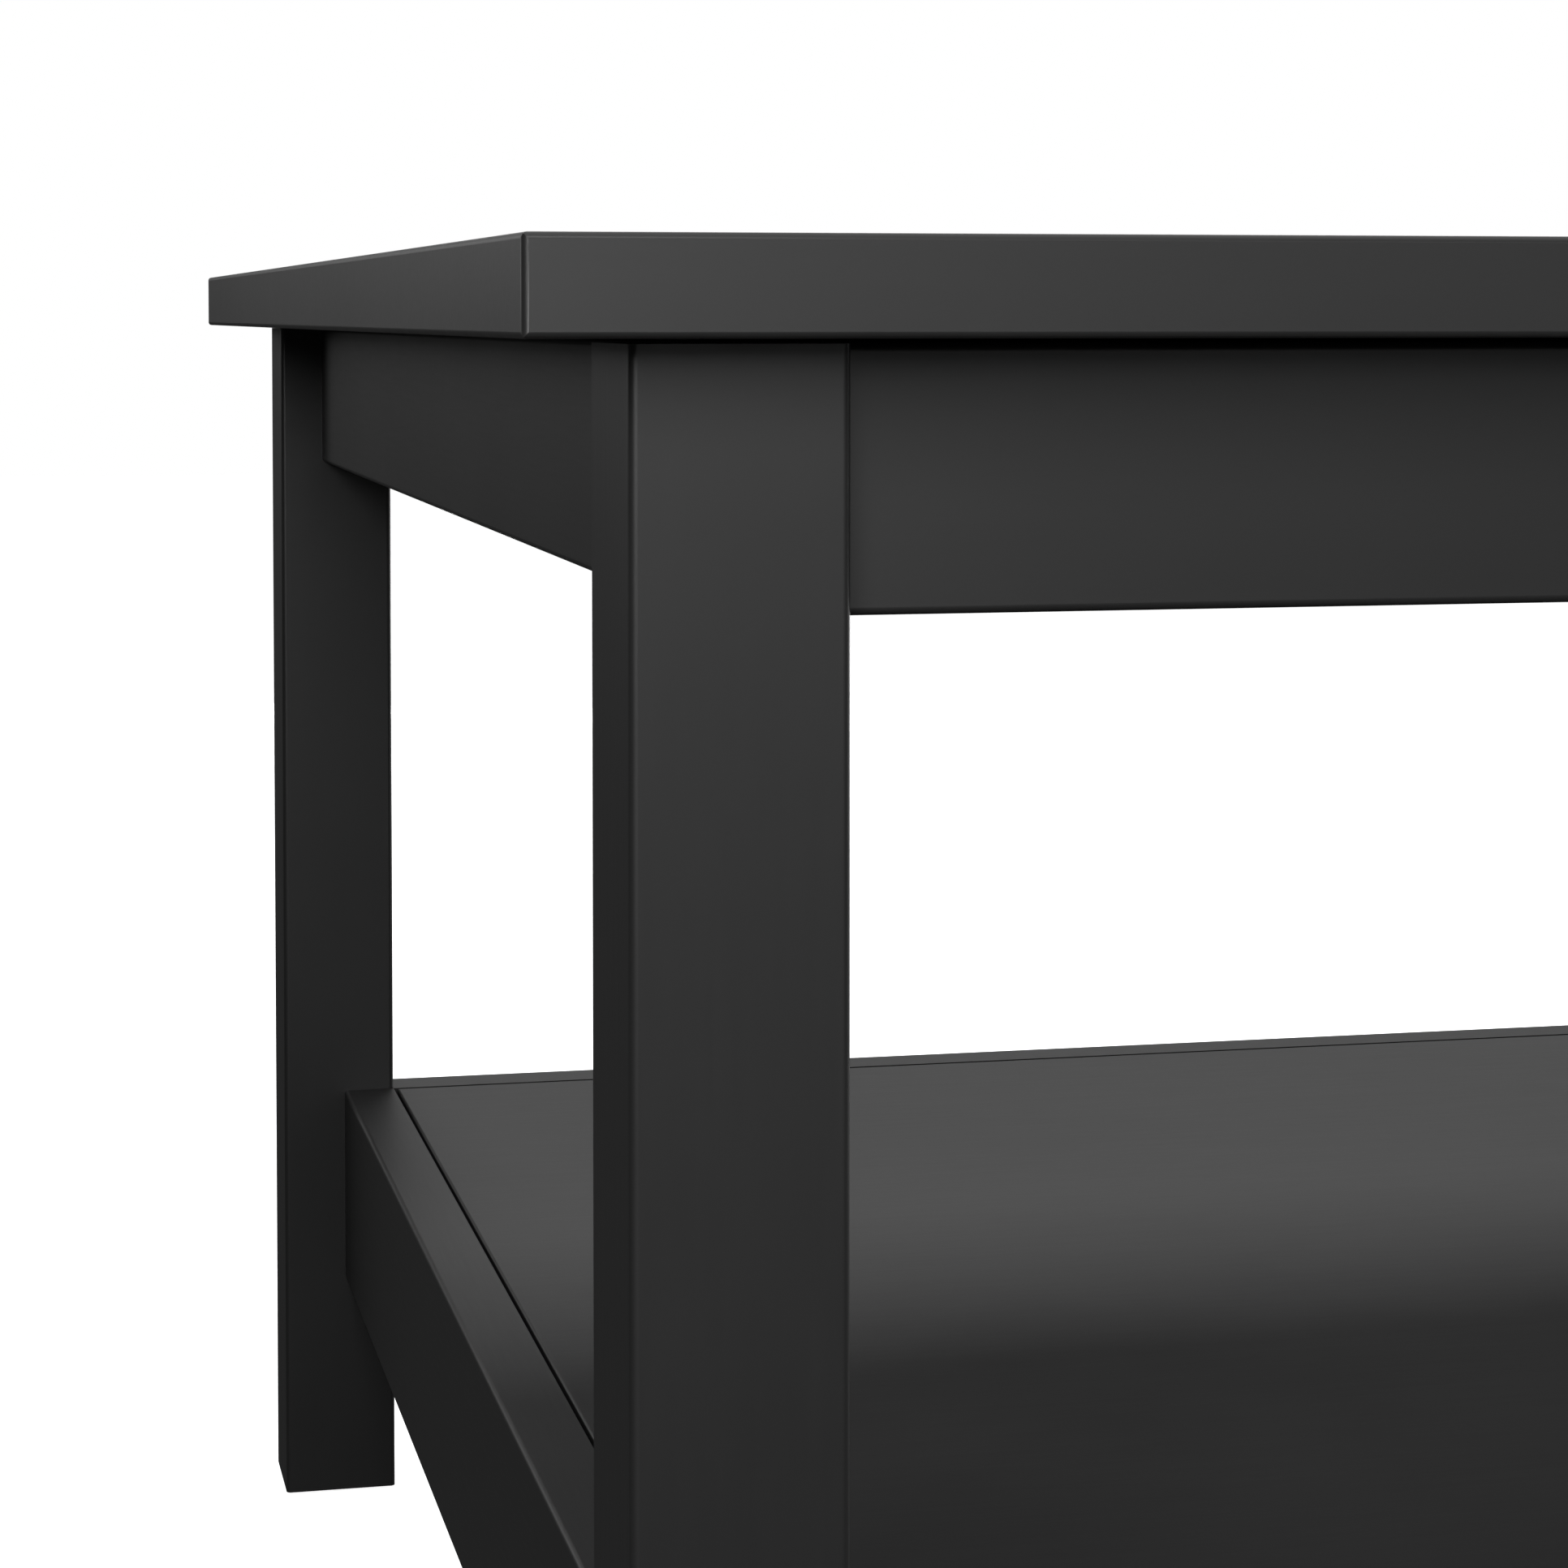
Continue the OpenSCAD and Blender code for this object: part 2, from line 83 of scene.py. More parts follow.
LOG = logging.getLogger("table")
MM = 0.001
WELD = 0.002 * MM
Triple = tuple[float, float, float]
Colour = tuple[float, float, float, float]


class Side(Enum):
    """The two sides of the table, each with its own lift linkage."""

    LEFT = "left"
    RIGHT = "right"

    @property
    def sign(self) -> int:
        """Sign of x on this side."""
        return -1 if self is Side.LEFT else 1


class Axis(Enum):
    """The three axes, by their place in a vector."""

    X = 0
    Y = 1
    Z = 2

    @classmethod
    def longest(cls, size: Vector) -> "Axis":
        """The axis that a box of this size is longest along."""
        return max(cls, key=lambda axis: size[axis.value])

    def unit(self, sign: float = 1.0) -> Vector:
        """The vector of length one along this axis, or against it for a sign of -1."""
        return Vector([sign if axis is self else 0.0 for axis in Axis])


@dataclass(frozen=True)
class Pattern:
    """A noise pattern over a piece, and the levels between which it is cut into spots."""

    scale: float
    octaves: float = 2.0
    fineness: float = 0.5
    stretch: Triple = (1.0, 1.0, 1.0)
    start: float = 0.0
    full: float = 1.0
    between: float = 0.0


Shares = tuple[tuple[Pattern, float], ...]


# ---------- node building


class Value:
    """A number socket in a node tree, with the operators that shader maths needs."""

    def __init__(self, tree: "Tree", socket: bpy.types.NodeSocket) -> None:
        """Wraps an output socket of the tree that new Math nodes go into."""
        self.tree = tree
        self.socket = socket

    def _math(self, operation: str, *terms: "Number", clamp: bool = False) -> "Value":
        """The result of one Math node, held to 0..1 if clamp is set."""
        node = self.tree.node("ShaderNodeMath", {"operation": operation, "use_clamp": clamp},
                              dict(enumerate(terms)))
        return Value(self.tree, node.outputs[0])

    def __add__(self, other: "Number") -> "Value":
        """self + other."""
        return self._math("ADD", self, other)

    __radd__ = __add__

    def __sub__(self, other: "Number") -> "Value":
        """self - other."""
        return self._math("SUBTRACT", self, other)

    def __rsub__(self, other: "Number") -> "Value":
        """other - self."""
        return self._math("SUBTRACT", other, self)

    def __mul__(self, other: "Number") -> "Value":
        """self * other."""
        return self._math("MULTIPLY", self, other)

    __rmul__ = __mul__

    def __truediv__(self, other: "Number") -> "Value":
        """self / other."""
        return self._math("DIVIDE", self, other)

    def __pow__(self, other: "Number") -> "Value":
        """self to the power other."""
        return self._math("POWER", self, other)

    def __abs__(self) -> "Value":
        """Size of self without its sign."""
        return self._math("ABSOLUTE", self)

    def least(self, other: "Number") -> "Value":
        """The smaller of self and other."""
        return self._math("MINIMUM", self, other)

    def most(self, other: "Number") -> "Value":
        """The larger of self and other."""
        return self._math("MAXIMUM", self, other)

    def held(self) -> "Value":
        """self held to 0..1."""
        return self._math("ADD", self, 0.0, clamp=True)


Number = Union[Value, float]
Input = Union[Value, float, int, str, bool, tuple, bpy.types.NodeSocket, bpy.types.Object]


class Tree:
    """A node tree under construction, for a material or for Geometry Nodes."""

    def __init__(self, tree: bpy.types.NodeTree) -> None:
        """Takes an existing tree and empties it."""
        self.tree = tree
        tree.nodes.clear()

    def node(self, kind: str, settings: dict[str, object] | None = None,
             inputs: dict[Union[str, int], Input] | None = None) -> bpy.types.Node:
        """Adds any node.

        Args:
            kind: Blender's type name of the node.
            settings: properties, set before the sockets; "stops" fills a colour ramp.
            inputs: values or links, by socket name or number.

        Returns:
            The new node.
        """
        new = self.tree.nodes.new(kind)
        for name, setting in (settings or {}).items():
            if name == "stops":
                self._fill_ramp(new.color_ramp, setting)
            else:
                setattr(new, name, setting)
        for name, value in (inputs or {}).items():
            self.feed(new.inputs[name], value)
        return new

    def feed(self, socket: bpy.types.NodeSocket, value: Input) -> None:
        """Links a socket, or sets its own value.

        Args:
            socket: the input socket.
            value: what goes into it.
        """
        if isinstance(value, Value):
            self.tree.links.new(value.socket, socket)
        elif isinstance(value, bpy.types.NodeSocket):
            self.tree.links.new(value, socket)
        else:
            socket.default_value = value

    @staticmethod
    def _fill_ramp(ramp: bpy.types.ColorRamp, stops: Sequence[tuple[float, float]]) -> None:
        """Sets a grey ramp's stops.

        Args:
            ramp: the ramp, with its two first elements.
            stops: position and grey level of each stop.
        """
        while len(ramp.elements) < len(stops):
            ramp.elements.new(1.0)
        for element, (place, grey) in zip(ramp.elements, stops, strict=True):
            element.position = place
            element.color = (grey, grey, grey, 1.0)


class Shader(Tree):
    """A material's tree, with the patterns that the table's finishes share."""

    def __init__(self, name: str, viewport: Triple) -> None:
        """Starts a material.

        Args:
            name: the material's name.
            viewport: plain colour for solid views.
        """
        self.material = bpy.data.materials.new(name)
        self.material.use_nodes = True
        self.material.diffuse_color = (*viewport, 1.0)
        super().__init__(self.material.node_tree)
        self.place = self.node("ShaderNodeTexCoord").outputs["Object"]
        self.made: dict[tuple[Pattern, Triple], Value] = {}

    def noise(self, pattern: Pattern, shift: Triple = (0.0, 0.0, 0.0)) -> Value:
        """A noise pattern over the object's own coordinates, made once for each material.

        Args:
            pattern: its scale, octaves and stretch.
            shift: offset that keeps two boards from sharing one pattern.

        Returns:
            The pattern, about 0..1 round 0.5.
        """
        if (pattern, shift) not in self.made:
            place = self.node("ShaderNodeMapping", inputs={
                "Vector": self.place, "Location": shift, "Scale": pattern.stretch})
            noise = self.node("ShaderNodeTexNoise", inputs={
                "Vector": place.outputs[0], "Scale": pattern.scale, "Detail": pattern.octaves,
                "Roughness": pattern.fineness})
            self.made[pattern, shift] = Value(self, noise.outputs["Fac"])
        return self.made[pattern, shift]

    def spots(self, pattern: Pattern) -> Value:
        """A noise pattern cut into soft-edged spots of level 1."""
        stops = [(pattern.start, pattern.between), (pattern.full, 1.0)]
        ramp = self.node("ShaderNodeValToRGB", {"stops": stops}, {"Fac": self.noise(pattern)})
        return Value(self, ramp.outputs["Color"])

    def blend(self, factor: Number, first: Input, second: Input) -> bpy.types.NodeSocket:
        """Mixes two colours, or their sockets, by the share of the second."""
        node = self.node("ShaderNodeMix", {"data_type": "RGBA"}, {0: factor, 6: first, 7: second})
        return node.outputs[2]

    def bumped(self, height: Value, depth: float) -> bpy.types.NodeSocket:
        """The normal of a height pattern that is so many metres deep."""
        return self.node("ShaderNodeBump", inputs={
            "Strength": 1.0, "Distance": depth, "Height": height}).outputs[0]

    def edge_reach(self, low: Vector, high: Vector) -> Value:
        """Distance over a box's surface to its nearest edge.

        Args:
            low: the box's lowest corner.
            high: its highest corner.

        Returns:
            The distance in metres.
        """
        middle, half = (low + high) / 2, (high - low) / 2
        parts = self.node("ShaderNodeSeparateXYZ", inputs={0: self.place}).outputs
        x, y, z = (half[i] - abs(Value(self, parts[i]) - middle[i]) for i in range(3))
        return x.least(y).most(x.most(y).least(z))

    def close(self, **inputs: Input) -> bpy.types.Material:
        """Ends the tree in a Principled surface.

        Args:
            inputs: sockets by name, with _ for a space.

        Returns:
            The finished material.
        """
        surface = self.node("ShaderNodeBsdfPrincipled", inputs={
            name.replace("_", " "): value for name, value in inputs.items()})
        self.node("ShaderNodeOutputMaterial", inputs={"Surface": surface.outputs[0]})
        return self.material


def grey(level: float, warm: float = 0.0) -> Colour:
    """A linear grey, with a share of its level added to red and taken from blue."""
    return (level * (1 + warm), level, level * (1 - warm), 1.0)


# ---------- finishes


@dataclass(frozen=True)
class Lacquer:
    """Satin charcoal lacquer sprayed over smooth fibreboard, thinner along its edges."""

    base: float = 0.014
    deep: float = 0.82
    pale: float = 1.18
    cloud: float = 0.20
    speck: float = 0.2
    speck_pale: float = 1.7
    edge_width: float = 0.0016
    edge_fade: float = 0.25
    edge_pale: float = 1.5
    edge_warmth: float = 0.02
    roughness: float = 0.40
    cloud_shine: float = 0.10
    sanding_shine: float = 0.05
    edge_shine: float = 0.05
    ior: float = 1.45
    specular: float = 0.5
    peel_share: float = 0.75
    relief: float = 0.000014
    shift: float = 7.3
    sanding_stretch: float = 0.04
    clouds: Pattern = Pattern(9.0, 4.0, 0.55)
    sanding: Pattern = Pattern(620.0, 3.0, 0.6)
    peel: Pattern = Pattern(900.0, 2.0, 0.4)
    specks: Pattern = Pattern(2400.0, 1.0, start=0.70, full=0.78)
    chafe: Pattern = Pattern(60.0, 5.0, 0.7, start=0.42, full=0.62, between=0.15)

    def material(self, name: str, low: Vector, high: Vector) -> bpy.types.Material:
        """The finish for one board, whose edges are found from its own box.

        Args:
            name: the board's name.
            low: its lowest corner.
            high: its highest corner.

        Returns:
            The material.
        """
        shader = Shader(f"lacquer_{name}", (self.base,) * 3)
        run = Axis.longest(high - low)
        long_way = tuple(self.sanding_stretch if axis is run else 1.0 for axis in Axis)
        shift = tuple(low * self.shift)
        clouds = shader.noise(self.clouds, shift) - 0.5
        sanding = shader.noise(replace(self.sanding, stretch=long_way), shift)
        streaks = sanding - 0.5
        edge = (1.0 - shader.edge_reach(low, high) / self.edge_width).held() * shader.spots(self.chafe)
        level = 0.5 + clouds * self.cloud * 2.0 + streaks * self.cloud
        even = shader.blend(level.held(), grey(self.base * self.deep), grey(self.base * self.pale))
        dusted = shader.blend(shader.spots(self.specks) * self.speck, even,
                              grey(self.base * self.speck_pale))
        colour = shader.blend(edge * self.edge_fade, dusted,
                              grey(self.base * self.edge_pale, self.edge_warmth))
        shine = (self.roughness + clouds * self.cloud_shine + streaks * self.sanding_shine
                 - edge * self.edge_shine)
        height = shader.noise(self.peel) * self.peel_share + sanding * (1 - self.peel_share)
        return shader.close(Base_Color=colour, Roughness=shine, IOR=self.ior,
                            Specular_IOR_Level=self.specular,
                            Normal=shader.bumped(height, self.relief))


@dataclass(frozen=True)
class Finish:
    """Two shades mixed by patterns, spots of a third colour, and a shine that follows them."""

    title: str
    deep: Colour
    pale: Colour
    mix: Shares
    grain: Pattern
    relief: float
    roughness: float
    shine: Shares
    spot: Colour = (0.0, 0.0, 0.0, 1.0)
    spots: Pattern = Pattern(1.0)
    spot_share: float = 0.0
    spot_shine: float = 0.0
    spot_metal: float = 0.0
    metal: float = 0.0
    specular: float = 0.5
    sheen: float = 0.0
    plain: Colour | None = None

    def material(self, name: str) -> bpy.types.Material:
        """The finish as a material.

        Args:
            name: what it goes on.

        Returns:
            The material.
        """
        shader = Shader(f"{self.title}_{name}", (self.plain or self.pale)[:3])
        mixed = sum(shader.noise(pattern) * share for pattern, share in self.mix)
        spots = shader.spots(self.spots)
        ground = shader.blend(mixed, self.deep, self.pale)
        shine = sum((shader.noise(pattern) - 0.5) * share for pattern, share in self.shine)
        metal = self.metal + spots * self.spot_metal if self.spot_metal else self.metal
        return shader.close(Base_Color=shader.blend(spots * self.spot_share, ground, self.spot),
                            Roughness=self.roughness + shine + spots * self.spot_shine,
                            Metallic=metal,
                            Specular_IOR_Level=self.specular, Sheen_Weight=self.sheen,
                            Normal=shader.bumped(shader.noise(self.grain), self.relief))


FIBRES = Pattern(900.0, 6.0, 0.7, (1.0, 0.25, 1.0))
HARDBOARD = Finish(
    "hardboard", grey(0.021, 0.05), grey(0.042, 0.10), mix=((FIBRES, 1.0),), grain=FIBRES,
    relief=0.04 * MM, roughness=0.58, shine=((Pattern(14.0, 3.0), 0.2), (FIBRES, 0.1)),
    spot=grey(0.066, 0.14), spots=Pattern(420.0, 4.0, 0.6, start=0.55, full=0.72),
    spot_share=0.35, specular=0.35, plain=grey(0.030))

COAT_GRAIN = Pattern(2600.0, 3.0, 0.55)
COAT_CLOUDS = Pattern(35.0, 4.0, 0.6)
POWDER_COAT = Finish(
    "powder_coat", grey(0.0165), grey(0.033), mix=((COAT_CLOUDS, 1.0),), grain=COAT_GRAIN,
    relief=0.02 * MM, roughness=0.44, shine=((COAT_CLOUDS, 0.22), (COAT_GRAIN, 0.16)),
    spot=grey(0.11, 0.02), spots=Pattern(300.0, 4.0, 0.7, (1.0, 0.12, 1.0), 0.62, 0.76),
    spot_share=0.35, spot_shine=-0.10, spot_metal=0.4, plain=grey(0.022))

DRAW_MARKS = Pattern(1400.0, 3.0, 0.6, (1.0, 1.0, 0.2))
PLATED = Finish(
    "plated", (0.44, 0.44, 0.43, 1.0), (0.62, 0.61, 0.57, 1.0),
    mix=((Pattern(260.0, 3.0, 0.6), 1.0),), grain=DRAW_MARKS, relief=0.008 * MM, roughness=0.30,
    shine=((DRAW_MARKS, 0.22),), spot=(0.30, 0.27, 0.22, 1.0),
    spots=Pattern(90.0, 4.0, 0.65, start=0.48, full=0.75), spot_share=0.35, spot_shine=0.16,
    metal=1.0)
SCREW_STEEL = replace(PLATED, roughness=0.26)
CAM_ZINC = replace(PLATED, deep=(0.36, 0.36, 0.37, 1.0), pale=(0.50, 0.50, 0.51, 1.0),
                   roughness=0.38)
SPRING_WIRE = replace(PLATED, deep=(0.34, 0.34, 0.35, 1.0), pale=(0.52, 0.52, 0.52, 1.0),
                      roughness=0.24)

RINGS = Pattern(500.0, 4.0, 0.6, (0.3, 0.3, 1.0))
BEECH = Finish(
    "beech", (0.46, 0.30, 0.16, 1.0), (0.68, 0.49, 0.30, 1.0), mix=((RINGS, 1.0),), grain=RINGS,
    relief=0.06 * MM, roughness=0.62, shine=((RINGS, 0.2),), spot=(0.30, 0.17, 0.08, 1.0),
    spots=Pattern(1600.0, 2.0, 0.5, (0.35, 0.35, 1.0), 0.60, 0.70), spot_share=0.5,
    plain=(0.60, 0.42, 0.25, 1.0))

FUZZ = Pattern(3200.0, 4.0, 0.75)
TUFTS = Pattern(700.0, 3.0, 0.6)
FELT = Finish(
    "felt", grey(0.02), grey(0.11, 0.03), mix=((FUZZ, 0.6), (TUFTS, 0.4)), grain=FUZZ,
    relief=0.12 * MM, roughness=0.9, shine=((TUFTS, 0.1),), sheen=0.3,
    plain=grey(0.05))

MOULD = Pattern(1800.0, 2.0)
NYLON = Finish(
    "nylon", grey(0.035), grey(0.035), mix=((MOULD, 1.0),), grain=MOULD, relief=0.02 * MM,
    roughness=0.45, shine=((MOULD, 0.1),), spot=grey(0.13),
    spots=Pattern(900.0, 4.0, 0.7, (0.3, 1.0, 1.0), 0.5, 0.7), spot_share=0.5, spot_shine=0.25,
    plain=grey(0.05))


# ---------- mesh helpers


def put(name: str, data: bpy.types.ID) -> bpy.types.Object:
    """A new object in the scene that holds a mesh, a light or a camera."""
    thing = bpy.data.objects.new(name, data)
    bpy.context.scene.collection.objects.link(thing)
    return thing


def add_piece(name: str, mesh: bpy.types.Mesh, body: str,
              replaced: Iterable[str] = ()) -> bpy.types.Object:
    """Puts a finished mesh in the scene and ties it to the frame.

    Args:
        name: the piece's name.
        mesh: its mesh, already in place.
        body: the moving body that it rides on.
        replaced: CAD nodes that it stands for.

    Returns:
        The new object.
    """
    piece = put(name, mesh)
    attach(piece, body)
    if replaced:
        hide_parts(*replaced)
    return piece


def dress(piece: bpy.types.Object, material: bpy.types.Material) -> None:
    """Gives a whole piece, CAD node or not, one material."""
    piece.data.materials.clear()
    piece.data.materials.append(material)


def mesh_from(work: bmesh.types.BMesh, name: str, smooth_angle: float = 40.0) -> bpy.types.Mesh:
    """Turns a bmesh into a smooth-shaded mesh with its hard edges marked.

    Args:
        work: the bmesh, which is freed.
        name: the mesh's name.
        smooth_angle: edges sharper than this, in degrees, stay hard.

    Returns:
        The mesh.
    """
    bmesh.ops.recalc_face_normals(work, faces=work.faces)
    for face in work.faces:
        face.smooth = True
    limit = math.radians(smooth_angle)
    for edge in work.edges:
        edge.smooth = len(edge.link_faces) == 2 and edge.calc_face_angle(0.0) < limit
    mesh = bpy.data.meshes.new(name)
    work.to_mesh(mesh)
    work.free()
    return mesh


def lathe(profile: Sequence[tuple[float, float]], sides: int) -> bmesh.types.BMesh:
    """A closed solid of revolution about +Z.

    Args:
        profile: radius and height of each step; the first and last radius may be 0.
        sides: number of flats round the axis.

    Returns:
        The solid as a bmesh.
    """
    work = bmesh.new()
    rings: list[list[bmesh.types.BMVert]] = []
    for radius, height in profile:
        count = sides if radius > 0 else 1
        rings.append([work.verts.new((radius * math.cos(math.tau * i / sides),
                                      radius * math.sin(math.tau * i / sides), height))
                      for i in range(count)])
    for lower, upper in zip(rings, rings[1:]):
        for i in range(sides):
            j = (i + 1) % sides
            corners = [lower[i % len(lower)], lower[j % len(lower)], upper[j % len(upper)],
                       upper[i % len(upper)]]
            work.faces.new(list(dict.fromkeys(corners)))
    for ring in (rings[0], rings[-1]):
        if len(ring) > 1:
            work.faces.new(ring)
    return work


def welded(node: str) -> bmesh.types.BMesh:
    """A CAD node's mesh as a bmesh, with its doubled vertices joined."""
    work = bmesh.new()
    work.from_mesh(frame["nodes"][node].data)
    bmesh.ops.remove_doubles(work, verts=work.verts, dist=WELD)
    return work


def eased_copy(node: str, ease: float, flat: float = 0.5, sharp: float = 35.0) -> bpy.types.Mesh:
    """A copy of a CAD node's mesh with its sharp edges broken by a small round.

    Args:
        node: the CAD node.
        ease: width of the round.
        flat: faces that meet at less than this, in degrees, are joined.
        sharp: edges of more than this, in degrees, are broken.

    Returns:
        The mesh, closed and smooth-shaded.
    """
    work = welded(node)
    bmesh.ops.dissolve_limit(work, angle_limit=math.radians(flat), verts=work.verts, edges=work.edges)
    edges = [edge for edge in work.edges
             if len(edge.link_faces) == 2 and edge.calc_face_angle(0.0) > math.radians(sharp)]
    bmesh.ops.bevel(work, geom=edges, offset=ease, offset_type="OFFSET", segments=3, profile=0.5,
                    affect="EDGES", clamp_overlap=True)
    return mesh_from(work, f"{node}_eased", smooth_angle=50.0)


def evaluated(piece: bpy.types.Object, name: str) -> bpy.types.Mesh:
    """The plain mesh that a piece's modifiers make; the piece itself is then removed.

    Args:
        piece: the object with live modifiers.
        name: name for the mesh.

    Returns:
        The mesh with nothing live on it.
    """
    view = bpy.context.evaluated_depsgraph_get()
    mesh = bpy.data.meshes.new_from_object(piece.evaluated_get(view), depsgraph=view)
    mesh.name = name
    bpy.data.objects.remove(piece)
    return mesh


# ---------- geometry trees


SOCKETS = {float: "NodeSocketFloat", int: "NodeSocketInt",
           bpy.types.Material: "NodeSocketMaterial", bpy.types.Object: "NodeSocketObject"}


class GeometryTree(Tree):
    """A Geometry Nodes group with named inputs."""

    def __init__(self, name: str, inputs: dict[str, Input]) -> None:
        """Starts a group whose first input is the carrier's geometry.

        Args:
            name: the group's name.
            inputs: value of each named input.
        """
        group = bpy.data.node_groups.new(name, "GeometryNodeTree")
        super().__init__(group)
        for way in ("INPUT", "OUTPUT"):
            group.interface.new_socket("Geometry", in_out=way, socket_type="NodeSocketGeometry")
        self.values = inputs
        self.identifiers = {
            label: group.interface.new_socket(
                label, in_out="INPUT", socket_type=SOCKETS[type(value)]).identifier
            for label, value in inputs.items()}
        self.start = self.node("NodeGroupInput")

    def value(self, label: str) -> Value:
        """A named number input, for maths."""
        return Value(self, self.start.outputs[label])

    def end(self, geometry: bpy.types.NodeSocket) -> None:
        """Realizes the instances, sets the material and closes the group.

        Args:
            geometry: what the tree has built.
        """
        real = self.node("GeometryNodeRealizeInstances", inputs={0: geometry})
        painted = self.node("GeometryNodeSetMaterial", inputs={
            "Geometry": real.outputs[0], "Material": self.start.outputs["Material"]})
        self.node("NodeGroupOutput", inputs={0: painted.outputs[0]})

    def grow(self, carrier: bpy.types.Object, name: str) -> bpy.types.Mesh:
        """Runs the group on a carrier object and returns the plain mesh.

        Args:
            carrier: the object whose mesh feeds the group; it is removed.
            name: name for the mesh.

        Returns:
            The mesh.
        """
        modifier = carrier.modifiers.new("grow", "NODES")
        modifier.node_group = self.tree
        for label, value in self.values.items():
            modifier[self.identifiers[label]] = value
        mesh = evaluated(carrier, name)
        bpy.data.node_groups.remove(self.tree)
        return mesh


@dataclass(frozen=True)
class Place:
    """Where one copy of a repeated piece goes, and the way its own +Z points."""

    at: Triple
    aim: Triple = (0.0, 0.0, 1.0)


def carrier_of(places: Sequence[Place]) -> bpy.types.Object:
    """A loose-point object that carries places and aims.

    Args:
        places: the places.

    Returns:
        The object, linked to the scene.
    """
    mesh = bpy.data.meshes.new("carrier")
    mesh.from_pydata([place.at for place in places], [], [])
    aims = mesh.attributes.new("aim", "FLOAT_VECTOR", "POINT")
    aims.data.foreach_set("vector", [part for place in places for part in place.aim])
    return put("carrier", mesh)


def repeated(name: str, model: bpy.types.Mesh, places: Sequence[Place],
             material: bpy.types.Material, seed: int, turn: float = math.tau) -> bpy.types.Mesh:
    """Sets one copy of a model at every place, each turned a little about its own axis.

    Args:
        name: name for the mesh.
        model: the piece to repeat, along +Z.
        places: where the copies go.
        material: their finish.
        seed: seed of the turns.
        turn: largest turn in radians.

    Returns:
        All the copies as one plain mesh.
    """
    pattern = put(f"{name}_pattern", model)
    tree = GeometryTree(f"{name}_places", {
        "Pattern": pattern, "Turn": turn, "Seed": seed, "Material": material})
    points = tree.node("GeometryNodeMeshToPoints", inputs={"Mesh": tree.start.outputs["Geometry"]})
    aim = tree.node("GeometryNodeInputNamedAttribute", {"data_type": "FLOAT_VECTOR"}, {"Name": "aim"})
    facing = tree.node("FunctionNodeAlignRotationToVector", {"axis": "Z"},
                       {"Vector": aim.outputs["Attribute"]})
    spin = tree.node("FunctionNodeRandomValue", {"data_type": "FLOAT"},
                     {2: 0.0, 3: tree.start.outputs["Turn"], "Seed": tree.start.outputs["Seed"]})
    about = tree.node("FunctionNodeAxisAngleToRotation", inputs={
        "Axis": (0.0, 0.0, 1.0), "Angle": spin.outputs[1]})
    turned = tree.node("FunctionNodeRotateRotation", {"rotation_space": "LOCAL"},
                       {"Rotation": facing.outputs[0], "Rotate By": about.outputs[0]})
    shape = tree.node("GeometryNodeObjectInfo", inputs={"Object": tree.start.outputs["Pattern"]})
    copies = tree.node("GeometryNodeInstanceOnPoints", inputs={
        "Points": points.outputs[0], "Instance": shape.outputs["Geometry"],
        "Rotation": turned.outputs[0]})
    tree.end(copies.outputs[0])
    mesh = tree.grow(carrier_of(places), name)
    bpy.data.objects.remove(pattern)
    return mesh


# ---------- woodwork


@dataclass
class Woodwork:
    """The lacquered boards, which keep their CAD shapes, and the plain storage floor."""

    lacquer: Lacquer = Lacquer()
    hardboard: Finish = HARDBOARD
    slot: str = "lacquered_board"

    def boards(self) -> list[str]:
        """Names of the lacquered nodes, from the record's own slots."""
        return [entry["node"] for entry in frame["record"]["subparts"]
                if entry["material_slot"] == self.slot]

    def build(self) -> None:
        """Dresses every board with a finish that follows its own edges."""
        for node in self.boards():
            low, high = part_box(node)
            dress(frame["nodes"][node], self.lacquer.material(node, low, high))
            LOG.info("lacquered %s", node)
        dress(frame["nodes"]["storage_floor"], self.hardboard.material("storage_floor"))
        LOG.info("dressed storage_floor")


# ---------- fasteners


